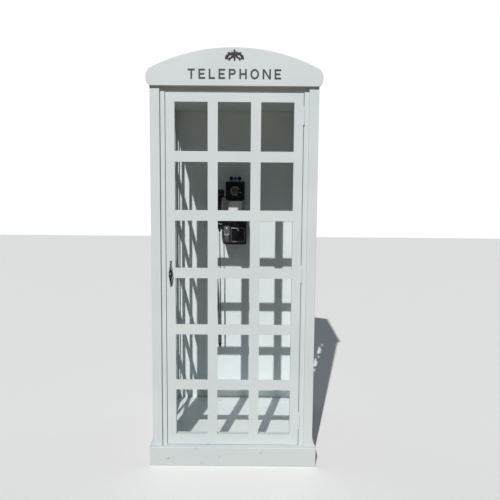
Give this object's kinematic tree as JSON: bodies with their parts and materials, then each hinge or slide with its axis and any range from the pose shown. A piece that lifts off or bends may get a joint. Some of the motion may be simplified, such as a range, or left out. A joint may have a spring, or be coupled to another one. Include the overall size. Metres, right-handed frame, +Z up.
{
  "type": "telephone_booth",
  "caption": "White wooden telephone booth with a glazed door, glazed sides, a shallow arched roof and a black dial pay telephone on its back wall",
  "frame": {"origin": "centre of the footprint at ground level", "axes": "+Z up, +Y towards the booth's back wall, +X to the right when facing the door"},
  "size_m": [0.949, 0.96, 2.327],
  "materials": {
    "white_paint": "satin",
    "charcoal_paint": "satin",
    "clear_acrylic": "polished",
    "white_metal": "satin",
    "zinc": "brushed",
    "black_iron": "matte",
    "black_enamel": "gloss",
    "bakelite": "gloss",
    "bright_chrome": "polished",
    "card_stock": "matte",
    "cord_rubber": "matte",
    "dial_brass": "satin"
  },
  "bodies": {
    "booth": {"plinth_sides": "white_paint", "floor_bearers": "white_paint", "floor_panel": "white_paint", "threshold": "white_paint", "corner_posts": "white_paint", "strike_jamb": "white_paint", "hinge_jamb": "white_paint", "door_stops": "white_paint", "head_rails": "white_paint", "back_panel": "white_paint", "ceiling_panel": "white_paint", "side_frames": "white_paint", "side_uprights": "white_paint", "side_crossbars": "white_paint", "side_beads": "white_paint", "pediment_front": "white_paint", "pediment_back": "white_paint", "roof_fascias": "white_paint", "roof_sheet": "white_paint", "roof_ribs": "white_paint", "pediment_letters": "charcoal_paint", "pediment_ornament": "charcoal_paint", "side_glazing": "clear_acrylic", "hinge_frame_leaves": "white_metal", "hinge_pins": "white_metal", "frame_screws": "zinc", "catch_magnet": "zinc", "upper_housing": "black_enamel", "card_housing": "black_enamel", "lower_housing": "black_enamel", "phone_backplate": "black_enamel", "coin_gauge": "black_enamel", "dial_bezel": "black_enamel", "housing_gland": "bakelite", "coin_return_chute": "bright_chrome", "finger_stop": "bright_chrome", "instruction_card": "card_stock", "handset_cord": "cord_rubber", "plinth_boards": "white_paint", "number_plate": "dial_brass"},
    "door": {"door_stiles": "white_paint", "door_rails": "white_paint", "door_uprights": "white_paint", "door_crossbars": "white_paint", "door_glazing": "clear_acrylic", "door_beads": "white_paint", "door_screws": "zinc", "hinge_door_leaves": "white_metal", "pull_handle": "black_iron", "catch_plate": "zinc"},
    "dial": {"finger_wheel": "black_enamel", "dial_cap": "black_enamel"},
    "handset": {"handset_body": "bakelite", "handset_caps": "bakelite", "handset_gland": "bakelite"},
    "hook": {"hook_lever": "black_enamel"},
    "flap": {"coin_return_flap": "bright_chrome"},
    "vault": {"vault_door": "black_enamel", "cash_box": "zinc"},
    "lock": {"vault_lock": "bright_chrome"}
  },
  "joints": [
    {"name": "door_hinge", "type": "hinge", "parent": "booth", "child": "door", "pos_m": [0.3765, -0.4463, 1.108], "axis": [0, 0, 1], "range_deg": [0, 115]},
    {"name": "dial_turn", "type": "hinge", "parent": "booth", "child": "dial", "pos_m": [-0.013, 0.3, 1.558], "axis": [0, 1, 0], "range_deg": [0, 300], "stiffness_Nm_per_rad": 0.02},
    {"name": "handset_lift", "type": "slide", "parent": "booth", "child": "handset", "axis": [0, 0, 1], "range_m": [0, 0.05]},
    {"name": "hook_swing", "type": "hinge", "parent": "booth", "child": "hook", "pos_m": [-0.0615, 0.324, 1.5175], "axis": [0, 1, 0], "range_deg": [0, 8]},
    {"name": "return_flap", "type": "hinge", "parent": "booth", "child": "flap", "pos_m": [-0.06825, 0.2918, 1.258], "axis": [1, 0, 0], "range_deg": [0, 70]},
    {"name": "vault_pull", "type": "slide", "parent": "booth", "child": "vault", "axis": [0, -1, 0], "range_m": [0, 0.06]},
    {"name": "vault_key", "type": "hinge", "parent": "vault", "child": "lock", "pos_m": [0.008, 0.2875, 1.296], "axis": [0, 1, 0], "range_deg": [0, 90]}
  ],
  "couplings": [
    {"joint": "hook_swing", "follows": "handset_lift", "rad_per_m": 2.79}
  ]
}
